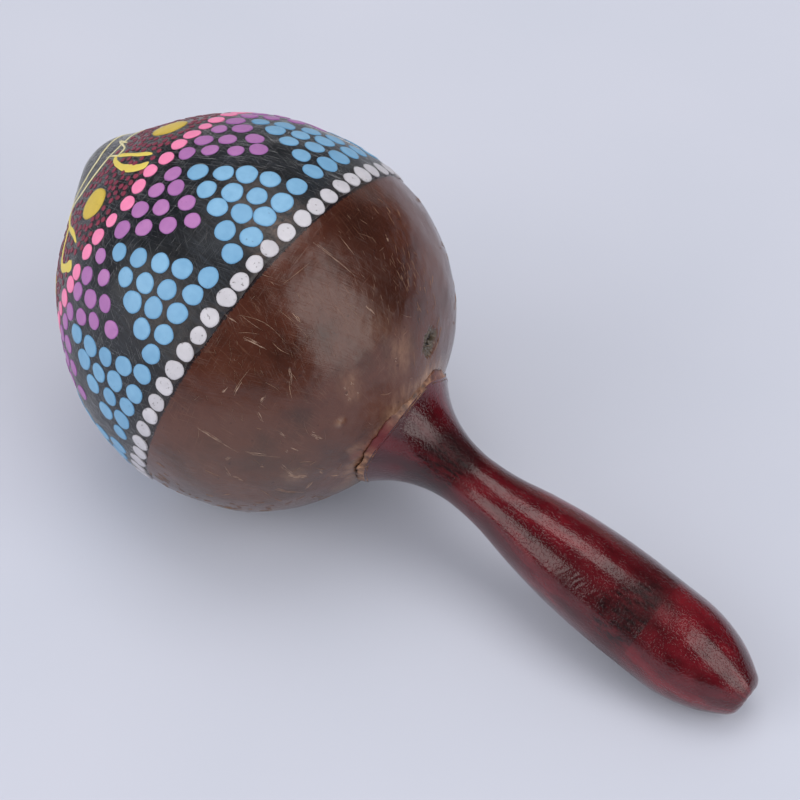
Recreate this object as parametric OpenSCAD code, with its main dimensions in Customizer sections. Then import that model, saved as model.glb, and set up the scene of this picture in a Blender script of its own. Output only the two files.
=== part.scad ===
// Coconut shell shaker lying on a table: a hollow nut on a turned wooden handle,
// with a dot-painted end and loose seeds inside. Millimetres, +Z up, handle along +X.

/* [Coconut head] */
// Widest diameter of the nut
head_d = 100; // [92:1:110]
// How far the round end beside the handle falls short of a true ball
butt_inset = 2.6; // [1.5:0.1:4]
// Radius of the long curve from the widest place towards the point
side_r = 61.5; // [57:0.5:68]
// Slope at which that curve runs out into a straight flank
flank_angle = 53; // [50:1:56]
// Radius of the blunt point
tip_r = 19.5; // [15:0.5:24]
// Thickness of the shell wall
wall = 4; // [3:0.5:5]
// Lean of the nut on its handle, pointed end up
nut_lean = 6; // [0:0.5:8]
// Diameter of the dark eye beside the joint
eye_d = 6; // [4:0.5:8]

/* [Handle] */
// Length from the round end of the nut to the end of the handle
handle_len = 106.6; // [95:0.5:125]
// Diameter of the neck
neck_d = 15; // [13:0.5:18]
// Distance of the neck from the round end of the nut
neck_at = 20.6; // [18:0.1:24]
// Radius of the hollow curve from the neck out to the collar
flare_r = 29; // [26:0.5:34]
// Diameter of the collar that meets the nut
collar_d = 33.5; // [31:0.5:36]
// Radius of the hollow curve from the neck into the grip
neck_r = 61; // [50:1:80]
// Diameter of the grip
grip_d = 26; // [23:0.5:30]
// Distance of the grip's full width from the round end of the nut
grip_at = 70.6; // [64:0.5:76]
// Length of the grip's straight part
grip_len = 13; // [8:0.5:18]
// Diameter of the flat end
end_d = 10; // [8:0.5:14]
// Diameter of the tenon inside the shell
tenon_d = 14; // [10:0.5:16]

/* [Joint] */
// Radius of the glue bead around the collar
glue_w = 1.4; // [1:0.1:2]
// Glue film between the collar and the nut
glue_gap = 0.15; // [0.1:0.05:0.3]

/* [Paint] */
// Thickness of the black ground coat
coat_t = 0.4; // [0.3:0.05:0.6]
// Height of a raised dab
dab_t = 0.5; // [0.3:0.05:0.8]
// Distance of the white ring from the nut's widest place, towards the handle
ring_at = 1.9; // [1:0.1:2.5]
// Slant of the white ring across the nut
ring_slant = 3.4; // [0:0.2:4]
// Number of white dots in the ring
white_count = 59; // [40:1:60]
// Diameter of a white dot
white_d = 4.9; // [3.5:0.1:5]
// Diameter of a blue dot
blue_d = 5.2; // [4:0.1:5.3]
// Diameter of a purple dot
purple_d = 4.6; // [3.5:0.1:5]
// Diameter of a pink dot
pink_d = 4.1; // [3:0.1:4.4]
// Diameter of a dark red stipple dot
stipple_d = 1.5; // [1.2:0.1:1.8]
// Diameter of a yellow spot
spot_d = 8.6; // [6:0.1:9]
// Width of the yellow line
line_w = 1.4; // [0.8:0.1:1.8]

/* [Rattle] */
// Diameter of one loose seed
seed_d = 7; // [5:0.1:7]

/* [Hidden] */
$fn = 96;

// Half-section of the nut: radius, and height towards the handle from the widest place
head_r = head_d / 2;
butt_r = head_r - butt_inset;
side_c = head_r - side_r;
flank_reach = side_c * cos(flank_angle) + side_r;
tip_at = (flank_reach - tip_r) / sin(flank_angle);
beyond = 4 * head_r;
wide_fn = 4 * $fn;

// Half-section of the handle, on the same heights, with a ball-shaped seat under its collar
neck_z = butt_r + neck_at;
grip_z = butt_r + grip_at;
taper_z = grip_z + grip_len;
end_z = butt_r + handle_len;
neck_half = neck_d / 2;
grip_half = grip_d / 2;
swell = grip_half - neck_half;
swell_sum = (swell * swell + (grip_z - neck_z) * (grip_z - neck_z)) / (2 * swell);
grip_r = swell_sum - neck_r;
turn_z = neck_z + (grip_z - neck_z) * neck_r / swell_sum;
end_drop = grip_half - end_d / 2;
end_run = end_z - taper_z;
end_r = (end_drop * end_drop + end_run * end_run) / (2 * end_drop);
flare_z = neck_z - flare_r;
collar_in = flare_r + neck_half - collar_d / 2;
collar_z = neck_z - across(flare_r, collar_in);
seat_mid = (tenon_d + collar_d) / 4;
glue_z = (collar_z + across(butt_r, collar_d / 2 - butt_inset)) / 2;
seat_slope = asin((seat_mid - butt_inset) / butt_r);
seat_r = seat_mid / sin(seat_slope);
seat_drop = (seat_r - butt_r) * cos(seat_slope);
tenon_len = 11;
tenon_z = butt_r - tenon_len;
tenon_gap = 0.1;

// The shaker lies on the nut's round end and on the taper of its grip
line_t = 0.35;
rest_cos = butt_inset * cos(nut_lean) - grip_half + end_r;
rest_sin = butt_inset * sin(nut_lean) + taper_z;
tilt = acos((end_r - butt_r) / norm([rest_cos, rest_sin])) - atan2(rest_sin, rest_cos);
nut_tilt = tilt + nut_lean;
centre_z = butt_inset * cos(nut_tilt) + butt_r;
reach_back = tip_at * cos(nut_tilt) + tip_r + coat_t + line_t;
reach_front = end_z * cos(tilt) + end_d / 2 * sin(tilt);
centre_x = (reach_back - reach_front) / 2;

// Lengths along the nut's outline, counted from its point
rad = PI / 180;
side_end = side_c + side_r * cos(flank_angle);
flank_end = tip_r * cos(flank_angle);
flank_drop = tip_at + (tip_r - side_r) * sin(flank_angle);
arc_tip = tip_r * (90 - flank_angle) * rad;
arc_flank = arc_tip + norm([side_end - flank_end, flank_drop]);
arc_widest = arc_flank + side_r * flank_angle * rad;
eye_at = arc_widest + butt_r * 54 * rad;
eye_lon = 75;
eye_deep = 1.5;

// Painted rows: distance from the point, pitch around the nut in degrees, and phase
sectors = 10;
sector = 360 / sectors;
white_phase = -2;
blue_phase = 101.6;
blue_rows = 5;
blue_base = 81.6;
row_pitch = 5.85;
blue_step = 6.85;
purple_phase = blue_phase + sector / 2;
purple_ring_at = 52;
purple_rows = 3;
purple_per_sector = 4;
purple_step = 8;
purple_pitch = 5.1;
pink_at = 47;
pink_count = 46;
spot_at = 34.4;
spot_places = [18, 80, 136, 198, 260, 316];
row_lean = 2.5;
dab_root = 0.3;
coat_margin = white_d / 2 + 0.5;
dome_share = 0.7;

// The yellow figure, drawn on a plane across the nut's axis
body_long = 20.5;
body_wide = 18.5;
back_long = 17.4;
back_wide = 12.9;
body_turn = 160;
foot_places = [107, 160, 287, 340];
ankle_at = 23.2;
toe_at = 33.4;
toe_spread = 7;

// Stipple rows around the figure, left out beside its feet and the spots
stipple_t = 0.3;
stipple_from = 27.5;
stipple_to = 40.6;
stipple_pitch = 2.6;
stipple_gap = 2.8;
foot_clear = 14;
spot_clear = spot_d / 2 + stipple_d;

// Seeds: a patch of rows and columns on the lowest place of the cavity
seed_gap = 0.3;
seed_step = 11.6;
seed_orbit = butt_r - wall - seed_d / 2 - seed_gap;
seed_grid = [for (row = [-2:2], col = [-2:2]) if (abs(row * col) < 4) [row, col]];

function row_angle(s) =
    s < arc_tip ? 90 - s / tip_r / rad :
    s < arc_flank ? flank_angle :
    s < arc_widest ? (arc_widest - s) / side_r / rad :
    (arc_widest - s) / butt_r / rad;

function row_radius(s) =
    s < arc_tip ? tip_r * cos(row_angle(s)) :
    s < arc_flank ? flank_end + (s - arc_tip) * sin(flank_angle) :
    s < arc_widest ? side_c + side_r * cos(row_angle(s)) :
    butt_inset + butt_r * cos(row_angle(s));

function row_height(s) =
    s < arc_tip ? -tip_at - tip_r * sin(row_angle(s)) :
    s < arc_flank ? -tip_at - tip_r * sin(flank_angle) + (s - arc_tip) * cos(flank_angle) :
    s < arc_widest ? -side_r * sin(row_angle(s)) :
    -butt_r * sin(row_angle(s));

// The painted rows dip a little towards the handle on the underside
function dipped(s, lon) = s * (1 - row_lean / blue_base * sin(lon));

// The white ring runs at a slant over the nut, nearest to the point on top
function ring_row(lon) = arc_widest + ring_at - head_r * tan(ring_slant) * sin(lon);

// From the handle's own axis to the table
module place() {
    translate([centre_x, 0, centre_z])
        rotate([0, 90 + tilt, 0])
            children();
}

module lean() {
    rotate([0, nut_lean, 0])
        children();
}

// Longitude 0 is the +Y side, 90 the top
module around(lon) {
    rotate([0, 0, lon + 90])
        children();
}

module on_nut(s, lon) {
    around(lon)
        translate([row_radius(s), 0, row_height(s)])
            rotate([0, 90 + row_angle(s), 0])
                children();
}

// Whole thousandths, so that neighbouring stretches meet in one plane
function neat(v) = round(1000 * v) / 1000;

// Half the width of a circle at a height from its centre
function across(r, h) = sqrt(r * r - h * h);

// The nut, grown by g, in four stretches that share flat discs
module nut_solid(g) {
    side_low = neat((side_r + g) * sin(flank_angle));
    side_foot = side_c + across(side_r + g, side_low);
    tip_low = neat(tip_at + (tip_r + g) * sin(flank_angle));
    tip_foot = across(tip_r + g, tip_low - tip_at);
    lean() {
        rotate_extrude()
            intersection() {
                translate([butt_inset, 0])
                    circle(butt_r + g);
                square(beyond);
            }
        rotate_extrude()
            intersection() {
                translate([side_c, 0])
                    circle(side_r + g);
                translate([0, -side_low])
                    square([beyond, side_low]);
            }
        translate([0, 0, -tip_low])
            cylinder(r1 = tip_foot, r2 = side_foot, h = tip_low - side_low);
        rotate_extrude()
            intersection() {
                translate([0, -tip_at])
                    circle(tip_r + g);
                translate([0, -tip_low - beyond])
                    square(beyond);
            }
    }
}

// The collar's hollow flare, from inside the nut to the neck
module flare() {
    rotate_extrude()
        difference() {
            translate([0, flare_z])
                square([collar_d / 2, flare_r]);
            translate([neck_half + flare_r, neck_z])
                circle(flare_r);
        }
}

// From the neck to the flat end, in stretches that share flat discs
module grip() {
    rotate_extrude()
        difference() {
            translate([0, neck_z])
                square([grip_half, turn_z - neck_z]);
            translate([neck_half + neck_r, neck_z])
                circle(neck_r, $fn = wide_fn);
        }
    rotate_extrude()
        intersection() {
            translate([grip_half - grip_r, grip_z])
                circle(grip_r, $fn = wide_fn);
            translate([0, turn_z])
                square([grip_half, grip_z - turn_z]);
        }
    translate([0, 0, grip_z])
        cylinder(r = grip_half, h = grip_len);
    rotate_extrude()
        intersection() {
            translate([grip_half - end_r, taper_z])
                circle(end_r, $fn = wide_fn);
            translate([0, taper_z])
                square([grip_half, end_run]);
        }
}

// A domed dab of paint, its root set into the coat
module dab(d, t = dab_t) {
    dome_t = dome_share * t;
    dome_r = (d * d / 4 + dome_t * dome_t) / (2 * dome_t);
    translate([0, 0, coat_t])
        rotate_extrude()
            intersection() {
                translate([0, t - dome_r])
                    circle(dome_r, $fn = wide_fn);
                translate([0, -dab_root])
                    square([d / 2, dab_root + t]);
            }
}

// From the nut's own axes to the table
module on_shaker() {
    place()
        lean()
            children();
}

module stroke(from, to, width) {
    run = to - from;
    translate(from)
        rotate(atan2(run.y, run.x)) {
            translate([0, -width / 2])
                square([norm(run), width]);
            circle(d = width);
            translate([norm(run), 0])
                circle(d = width);
        }
}

module oval(long, wide) {
    straight = long - wide;
    for (side = [-1, 1])
        translate([side * straight, 0])
            circle(wide);
    translate([-straight, -wide])
        square([2 * straight, 2 * wide]);
}

module oval_line(long, wide) {
    difference() {
        oval(long, wide);
        oval(long - line_w, wide - line_w);
    }
}

function polar(r, lon) = r * [cos(lon + 90), sin(lon + 90)];

module foot_lines(lon) {
    ankle = polar(ankle_at, lon);
    stroke(polar(body_wide, lon), ankle, line_w);
    for (toe = [-1:1])
        stroke(ankle, polar(toe_at, lon + toe * toe_spread), line_w);
}

module figure_lines() {
    rotate(body_turn + 90) {
        oval_line(body_long, body_wide);
        oval_line(back_long, back_wide);
    }
    for (lon = foot_places)
        foot_lines(lon);
}

module shell() {
    color("#5a3628")
        place()
            difference() {
                nut_solid(0);
                nut_solid(-wall);
                cylinder(d = tenon_d + 2 * tenon_gap, h = beyond);
                lean()
                    on_nut(eye_at, eye_lon)
                        translate([0, 0, eye_d / 2 - eye_deep])
                            sphere(d = eye_d);
            }
}

module handle() {
    color("#6b1218")
        place() {
            difference() {
                flare();
                lean()
                    translate([0, 0, -seat_drop])
                        sphere(seat_r + glue_gap, $fn = wide_fn);
            }
            grip();
            translate([0, 0, tenon_z])
                cylinder(d = tenon_d, h = neck_z - tenon_z);
        }
}

module glue_fillet() {
    color("#a87850")
        place()
            difference() {
                rotate_extrude()
                    translate([collar_d / 2, glue_z])
                        circle(glue_w);
                nut_solid(0);
                flare();
            }
}

module paint_coat() {
    color("#26282b")
        place()
            difference() {
                nut_solid(coat_t);
                nut_solid(0);
                rotate([0, nut_lean - ring_slant, 0])
                    translate([0, 0, ring_at + coat_margin])
                        cylinder(r = beyond, h = beyond);
            }
}

module white_dots() {
    color("#e6e3e4")
        on_shaker()
            for (i = [0:white_count - 1])
                let (lon = white_phase + i * 360 / white_count)
                    on_nut(ring_row(lon), lon)
                        dab(white_d);
}

module blue_dots() {
    color("#7db9e6")
        on_shaker()
            for (k = [0:sectors - 1], row = [0:blue_rows - 1], i = [0:blue_rows - 1 - row])
                let (lon = blue_phase + k * sector + (i - (blue_rows - 1 - row) / 2) * blue_step)
                    on_nut(dipped(blue_base - row * row_pitch, lon), lon)
                        dab(blue_d);
}

module purple_dots() {
    color("#be78c8")
        on_shaker() {
            for (i = [0:purple_per_sector * sectors - 1])
                let (lon = purple_phase + (i + 0.5) * sector / purple_per_sector)
                    on_nut(dipped(purple_ring_at, lon), lon)
                        dab(purple_d);
            for (k = [0:sectors - 1], row = [1:purple_rows], i = [0:purple_rows - row])
                let (lon = purple_phase + k * sector + (i - (purple_rows - row) / 2) * purple_step)
                    on_nut(dipped(purple_ring_at + row * purple_pitch, lon), lon)
                        dab(purple_d);
        }
}

module pink_dots() {
    color("#ff8fbe")
        on_shaker()
            for (i = [0:pink_count - 1])
                let (lon = i * 360 / pink_count)
                    on_nut(dipped(pink_at, lon), lon)
                        dab(pink_d);
}

// Angle between two longitudes
function turn(a, b) = abs((a - b + 540) % 360 - 180);

function bare(s, lon) =
    min([for (foot = foot_places) turn(lon, foot)]) > foot_clear &&
    min([for (spot = spot_places) norm([s - spot_at, row_radius(s) * turn(lon, spot) * rad])]) > spot_clear;

module red_stipple() {
    color("#7a2c40")
        on_shaker()
            for (s = [stipple_from:stipple_pitch:stipple_to])
                let (count = round(2 * PI * row_radius(s) / stipple_gap))
                    for (i = [0:count - 1])
                        let (lon = i * 360 / count)
                            if (bare(s, lon))
                                on_nut(s, lon)
                                    dab(stipple_d, stipple_t);
}

module yellow_spots() {
    color("#dcc24a")
        on_shaker()
            for (lon = spot_places)
                on_nut(spot_at, lon)
                    dab(spot_d);
}

module yellow_figure() {
    color("#e0d070")
        place()
            difference() {
                intersection() {
                    nut_solid(coat_t + line_t);
                    lean()
                        translate([0, 0, -beyond])
                            linear_extrude(beyond)
                                figure_lines();
                }
                nut_solid(coat_t);
            }
}

module seed(i) {
    row = seed_grid[i][0];
    col = seed_grid[i][1];
    along = nut_tilt + row * seed_step;
    reach = butt_inset + seed_orbit * cos(along);
    color("#2b211c")
        on_shaker()
            around(-90 + col * seed_step * seed_orbit / reach)
                translate([reach, 0, seed_orbit * sin(along)])
                    sphere(d = seed_d);
}

module seed_01() { seed(0); }
module seed_02() { seed(1); }
module seed_03() { seed(2); }
module seed_04() { seed(3); }
module seed_05() { seed(4); }
module seed_06() { seed(5); }
module seed_07() { seed(6); }
module seed_08() { seed(7); }
module seed_09() { seed(8); }
module seed_10() { seed(9); }
module seed_11() { seed(10); }
module seed_12() { seed(11); }
module seed_13() { seed(12); }
module seed_14() { seed(13); }
module seed_15() { seed(14); }
module seed_16() { seed(15); }
module seed_17() { seed(16); }
module seed_18() { seed(17); }
module seed_19() { seed(18); }
module seed_20() { seed(19); }
module seed_21() { seed(20); }

shell();
handle();
glue_fillet();
paint_coat();
white_dots();
blue_dots();
purple_dots();
pink_dots();
red_stipple();
yellow_spots();
yellow_figure();
seed_01();
seed_02();
seed_03();
seed_04();
seed_05();
seed_06();
seed_07();
seed_08();
seed_09();
seed_10();
seed_11();
seed_12();
seed_13();
seed_14();
seed_15();
seed_16();
seed_17();
seed_18();
seed_19();
seed_20();
seed_21();
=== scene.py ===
import math
import bmesh
import bpy
import numpy as np
from mathutils import Matrix, Vector


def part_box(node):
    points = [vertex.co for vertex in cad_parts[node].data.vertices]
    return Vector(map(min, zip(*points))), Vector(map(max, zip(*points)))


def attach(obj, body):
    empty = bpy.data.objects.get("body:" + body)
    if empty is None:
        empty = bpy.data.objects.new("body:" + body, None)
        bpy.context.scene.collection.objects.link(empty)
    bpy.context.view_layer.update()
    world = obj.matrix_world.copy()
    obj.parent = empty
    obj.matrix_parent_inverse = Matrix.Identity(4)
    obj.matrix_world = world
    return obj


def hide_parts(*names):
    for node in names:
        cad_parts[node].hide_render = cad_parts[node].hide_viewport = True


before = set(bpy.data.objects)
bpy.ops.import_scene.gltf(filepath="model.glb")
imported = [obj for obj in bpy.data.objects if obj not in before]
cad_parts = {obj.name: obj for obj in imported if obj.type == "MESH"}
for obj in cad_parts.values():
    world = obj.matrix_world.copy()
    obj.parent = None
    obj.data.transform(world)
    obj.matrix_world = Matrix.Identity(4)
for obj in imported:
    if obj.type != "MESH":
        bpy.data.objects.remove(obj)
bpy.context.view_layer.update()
print("frame loaded:", len(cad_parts), "nodes")

# lengths in mm and angles in degrees until newPiece turns them into metres
nutShape = {
    "headR": 50.0, "buttInset": 2.6, "sideR": 61.5, "flank": 53.0, "tipR": 19.5, "lean": 6.0,
    "lumps": ((36.0, 0.2), (11.0, 0.06), (3.5, 0.018)),  # each (size, height)
    "calm": 200.0,  # square mm without lumps where the nut stands on the table
    "dents": ((11.0, 178.0, 9.0, 2.2), (23.0, -172.0, 8.0, 0.9)),  # each (s, lon, radius, depth)
}
restPose = {"tilt": 15.9013, "centre": (-44.2367, 0.0, 49.8124)}

headR, sideR, tipR = nutShape["headR"], nutShape["sideR"], nutShape["tipR"]
buttR = headR - nutShape["buttInset"]
flank = math.radians(nutShape["flank"])
sideC = headR - sideR
tipAt = (sideC * math.cos(flank) + sideR - tipR) / math.sin(flank)
flankFoot = tipR * math.cos(flank)
flankWide = sideC + sideR * math.cos(flank) - flankFoot
flankHigh = tipAt + (tipR - sideR) * math.sin(flank)
arcTip = tipR * (math.pi / 2 - flank)
arcFlank = arcTip + math.hypot(flankWide, flankHigh)
arcWidest = arcFlank + sideR * flank
lean = math.radians(nutShape["lean"])
handleTurn = math.radians(90 + restPose["tilt"])
nutTurn = handleTurn + lean
contactRow = arcWidest + buttR * math.radians(restPose["tilt"] + nutShape["lean"])


def hexColour(code):
    parts = [int(code[i:i + 2], 16) / 255 for i in (1, 3, 5)]
    return tuple(p / 12.92 if p <= 0.04045 else ((p + 0.055) / 1.055) ** 2.4 for p in parts) + (1.0,)


def tones(colours):
    return {name: hexColour(code) for name, code in colours.items()}


def perMetre(size):
    return 1000 / size  # texture scale for a pattern size in mm


def smooth(low, high, value):
    t = np.clip((value - low) / (high - low), 0, 1)
    return t * t * (3 - 2 * t)


# rises from the first value to the second, and falls from the third to the last
def between(rise, top, fall, end, value):
    return smooth(rise, top, value) * (1 - smooth(fall, end, value))


# angle from one longitude to another, within half a turn
def turnFrom(at, lon):
    return (lon - at + 180) % 360 - 180


# soft seeded lumps: a sum of sine waves of about the given length, spread about 1
def ripple(points, size, seed, waves=10):
    rng = np.random.default_rng(seed)
    total = np.zeros(points.shape[:-1])
    for _ in range(waves):
        heading = rng.normal(size=3)
        heading *= 2 * math.pi / (np.linalg.norm(heading) * size * rng.uniform(0.7, 1.4))
        total += np.sin(points @ heading + rng.uniform(0, 6.28))
    return total * math.sqrt(2 / waves)


# outline of the nut by length s from its point: radius, height towards the handle, slope
def nutLine(s):
    s = np.asarray(s, float)
    zones = [s < arcTip, s < arcFlank, s < arcWidest]
    left, past = arcWidest - s, s - arcTip
    slope = np.select(zones, [math.pi / 2 - s / tipR, flank, left / sideR], left / buttR)
    sine, cosine = np.sin(slope), np.cos(slope)
    radius = np.select(
        zones, [tipR * cosine, flankFoot + past * math.sin(flank), sideC + sideR * cosine],
        nutShape["buttInset"] + buttR * cosine)
    onFlank = past * math.cos(flank) - tipR * math.sin(flank) - tipAt
    height = np.select(zones, [-tipAt - tipR * sine, onFlank, -sideR * sine], -buttR * sine)
    return radius, height, slope


def toTable(points, turn):
    x, y, z = points[..., 0], points[..., 1], points[..., 2]
    cosT, sinT = math.cos(turn), math.sin(turn)
    return np.stack([x * cosT + z * sinT, y, z * cosT - x * sinT], -1) + np.array(restPose["centre"])


def aroundAxis(radius, height, lon):
    turn = np.radians(np.asarray(lon, float) + 90)
    radius, height, turn = np.broadcast_arrays(radius, height, turn)
    return np.stack([radius * np.cos(turn), radius * np.sin(turn), height], -1)


restSpot = aroundAxis(*nutLine(contactRow)[:2], -90.0)


# the hand-shaped unevenness of the nut, flat where it stands on the table
def nutLumps(base):
    total = sum(high * ripple(base, size, 3 + i) for i, (size, high) in enumerate(nutShape["lumps"]))
    return total * (1 - np.exp(-np.sum((base - restSpot) ** 2, -1) / nutShape["calm"]))


def onNut(s, lon, lift=0.0):
    s, lon, lift = np.broadcast_arrays(s, lon, lift)
    radius, height, slope = nutLine(s)
    base = aroundAxis(radius, height, lon)
    normal = aroundAxis(np.cos(slope), -np.sin(slope), lon)
    lift = lift + nutLumps(base)
    for atS, atLon, size, deep in nutShape["dents"]:
        middle = aroundAxis(*nutLine(atS)[:2], atLon)
        lift = lift - deep * np.exp(-np.sum((base - middle) ** 2, -1) / size ** 2)
    return toTable(base + normal * lift[..., None], nutTurn)


# sum of soft round patches, each (place along, lon, radius, strength), on a piece with the radius wide
def patches(along, lon, wide, places):
    total = np.zeros(np.shape(along))
    for at, atLon, size, strength in places:
        across = wide * np.radians(turnFrom(atLon, lon))
        total += strength * np.exp(-((along - at) ** 2 + across ** 2) / size ** 2)
    return np.clip(total, 0, 1)


# evenly spaced values from each end to the next, without the last end
def spaced(ends, counts):
    spans = zip(ends, ends[1:], counts)
    return np.concatenate([np.linspace(low, high, count, endpoint=False) for low, high, count in spans])


def allAround(count):
    return np.linspace(-180, 180, count, endpoint=False)


# rows of rings, shaped (items, rings, points, 3), each item closed by a fan at both ends
def skin(rings):
    items, rows, count = rings.shape[:3]
    ends = [rings[:, :1].mean(2), rings[:, -1:].mean(2)]
    points = np.concatenate([rings.reshape(items, -1, 3)] + ends, 1)
    ids = np.arange(rows * count).reshape(rows, count)
    nextIds = np.roll(ids, -1, 1)
    quads = np.stack([ids[:-1], nextIds[:-1], nextIds[1:], ids[1:]], -1).reshape(-1, 4)
    fans = [np.stack([np.full(count, rows * count), nextIds[0], ids[0]], -1),
            np.stack([np.full(count, rows * count + 1), ids[-1], nextIds[-1]], -1)]
    step = np.arange(items)[:, None, None] * (rows * count + 2)
    faces = (quads + step).reshape(-1, 4).tolist()
    faces += (np.concatenate(fans) + step).reshape(-1, 3).tolist()
    return points.reshape(-1, 3), faces


# marks for the skin of one item: values from its first ring on, zero on later rings, then its two ends
def ringMarks(values, rings, first=0.0, last=0.0):
    rows, count = values.shape[:2]
    marks = np.zeros((rings * count + 2,) + values.shape[2:])
    marks[:rows * count] = values.reshape((rows * count,) + values.shape[2:])
    marks[-2], marks[-1] = first, last
    return marks


# shape is (points, faces); marks are values per point that the look reads by name
def newPiece(name, shape, look, nodes=(), body="shaker", marks=None, sharp=45):
    points, faces = shape
    mesh = bpy.data.meshes.new(name)
    mesh.from_pydata((points / 1000).tolist(), [], faces)
    solid = bmesh.new()
    solid.from_mesh(mesh)
    bmesh.ops.recalc_face_normals(solid, faces=solid.faces)
    solid.to_mesh(mesh)
    solid.free()
    mesh.shade_smooth()
    mesh.set_sharp_from_angle(angle=math.radians(sharp))
    for key, values in (marks or {}).items():
        vector = values.ndim == 2
        layer = mesh.attributes.new(key, "FLOAT_VECTOR" if vector else "FLOAT", "POINT")
        layer.data.foreach_set("vector" if vector else "value", values.astype(np.float32).ravel())
    mesh.materials.append(look)
    piece = bpy.data.objects.new(name, mesh)
    bpy.context.collection.objects.link(piece)
    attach(piece, body)
    if nodes:
        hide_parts(*nodes)


# adds one node: settings are its properties, sockets its inputs by name or number, stops its colour ramp;
# an input given as text is linked to the mesh mark of that name
def addNode(tree, kind, sockets=None, stops=None, **settings):
    node = tree.nodes.new("ShaderNode" + kind)
    for key, value in settings.items():
        setattr(node, key, value)
    for key, value in (sockets or {}).items():
        if isinstance(value, str):
            value = addNode(tree, "Attribute", attribute_name=value).outputs["Fac"]
        if isinstance(value, bpy.types.NodeSocket):
            tree.links.new(value, node.inputs[key])
        else:
            node.inputs[key].default_value = value
    if stops:
        elements = node.color_ramp.elements
        elements[0].position, elements[0].color = stops[0]
        elements[-1].position, elements[-1].color = stops[-1]
        for position, colour in stops[1:-1]:
            elements.new(position).color = colour
    return node


# a new material, its tree and the coordinates of the object it is on
def newLook(name):
    look = bpy.data.materials.new(name)
    look.use_nodes = True
    look.node_tree.nodes.clear()
    return look, look.node_tree, addNode(look.node_tree, "TexCoord").outputs["Object"]


def finishLook(look, surface):
    shader = addNode(look.node_tree, "BsdfPrincipled", surface)
    addNode(look.node_tree, "OutputMaterial", {"Surface": shader.outputs[0]})
    return look


def grey(value):
    return (value, value, value, 1.0)


# noise coloured by stops, and the plain noise
def noiseTones(tree, vector, scale, stops, detail=3.0, rough=0.5):
    sockets = {"Vector": vector, "Scale": scale, "Detail": detail, "Roughness": rough}
    noise = addNode(tree, "TexNoise", sockets).outputs["Fac"]
    return addNode(tree, "ValToRGB", {"Fac": noise}, stops).outputs["Color"], noise


# noise pushed apart between two levels
def noiseMask(tree, vector, scale, low, high, detail=3.0, rough=0.5):
    return noiseTones(tree, vector, scale, [(low, grey(0.0)), (high, grey(1.0))], detail, rough)[0]


# what several covers have in common: their product
def overlap(tree, cover, *others):
    for other in others:
        cover = addNode(tree, "Math", {0: cover, 1: other}, operation="MULTIPLY").outputs[0]
    return cover


# colours laid over a first one, each layer given as its colour and the covers that bound it
def layered(tree, colour, *layers):
    for paint, *covers in layers:
        sockets = {0: overlap(tree, *covers), 6: colour, 7: paint}
        colour = addNode(tree, "Mix", sockets, data_type="RGBA").outputs[2]
    return colour


# relief in steps of (height, distance in mm, strength); a distance below zero cuts in
def stackedRelief(tree, *steps):
    under = {}
    for height, distance, strength in steps:
        sockets = {"Height": height, "Distance": abs(distance) / 1000, "Strength": strength, **under}
        under = {"Normal": addNode(tree, "Bump", sockets, invert=distance < 0).outputs[0]}
    return under["Normal"]


# pattern coordinates in mm along and around a turned piece, stretched by the given sizes
def grainPlace(tree, around, along):
    grain = addNode(tree, "Attribute", attribute_name="grain").outputs["Vector"]
    scale = (1 / around, 1 / around, 1 / along)
    return addNode(tree, "Mapping", {"Vector": grain, "Scale": scale}).outputs[0]


# pattern coordinates on the nut's skin for marks of a width and length in mm; heading 0 runs along the nut
def skinPlace(tree, heading, wide, long):
    flat = addNode(tree, "Attribute", attribute_name="flat").outputs["Vector"]
    sockets = {"Vector": flat, "Rotation": (0.0, 0.0, heading), "Scale": (long, wide, 1.0)}
    return addNode(tree, "Mapping", sockets, vector_type="TEXTURE").outputs[0]


# fine lines that cross in three headings
def hairLines(tree, wide, long, low, high):
    lines = 0.0
    for heading in (-0.4, 0.5, 1.45):
        more = noiseMask(tree, skinPlace(tree, heading, wide, long), 1.0, low, high, 2.0)
        lines = addNode(tree, "Math", {0: lines, 1: more}, operation="MAXIMUM").outputs[0]
    return lines


# the skin's own coordinates, with their seam underneath
def flatPlace(s, lon):
    return np.stack([s, headR * np.radians((lon + 90) % 360), 0 * s], -1)


print("helpers ready")

# black paint coat: its values and the row of its edge, which the shell's look needs too

coat = {
    "thick": 0.28, "ringAt": 1.9, "ringSlant": 3.4, "margin": 1.9, "wave": 0.25, "overrun": 1.9,
    "rows": 110, "columns": 320, "edgeWear": 0.35,
    "wear": (  # each (s, lon, radius, strength), as in all tables of patches
        (83.8, 102.1, 3, 0.9), (81.9, 95.5, 3, 0.7), (84.7, 109.2, 2.4, 0.8), (77.8, 104.5, 3, 0.6),
        (72, 100, 7, 0.4), (76, 140, 8, 0.3), (80, 20, 5, 0.7), (82, -60, 6, 0.7), (84, -150, 5, 0.7)),
    "hairs": 620, "hairRows": (46, 83), "hairLong": (3.0, 14.0), "hairWide": (0.08, 0.18),
    "hairBend": 0.6, "hairHigh": 0.03, "seed": 8, "hairTones": ("#3c3d41", "#5a5550"),
    "colours": {"black": "#101318", "grey": "#2e333b", "brown": "#5a4a42", "hair": "#66696d"},
}


def ringRow(lon):
    slant = headR * math.tan(math.radians(coat["ringSlant"]))
    return arcWidest + coat["ringAt"] - slant * np.sin(np.radians(lon))


# coconut shell

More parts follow.
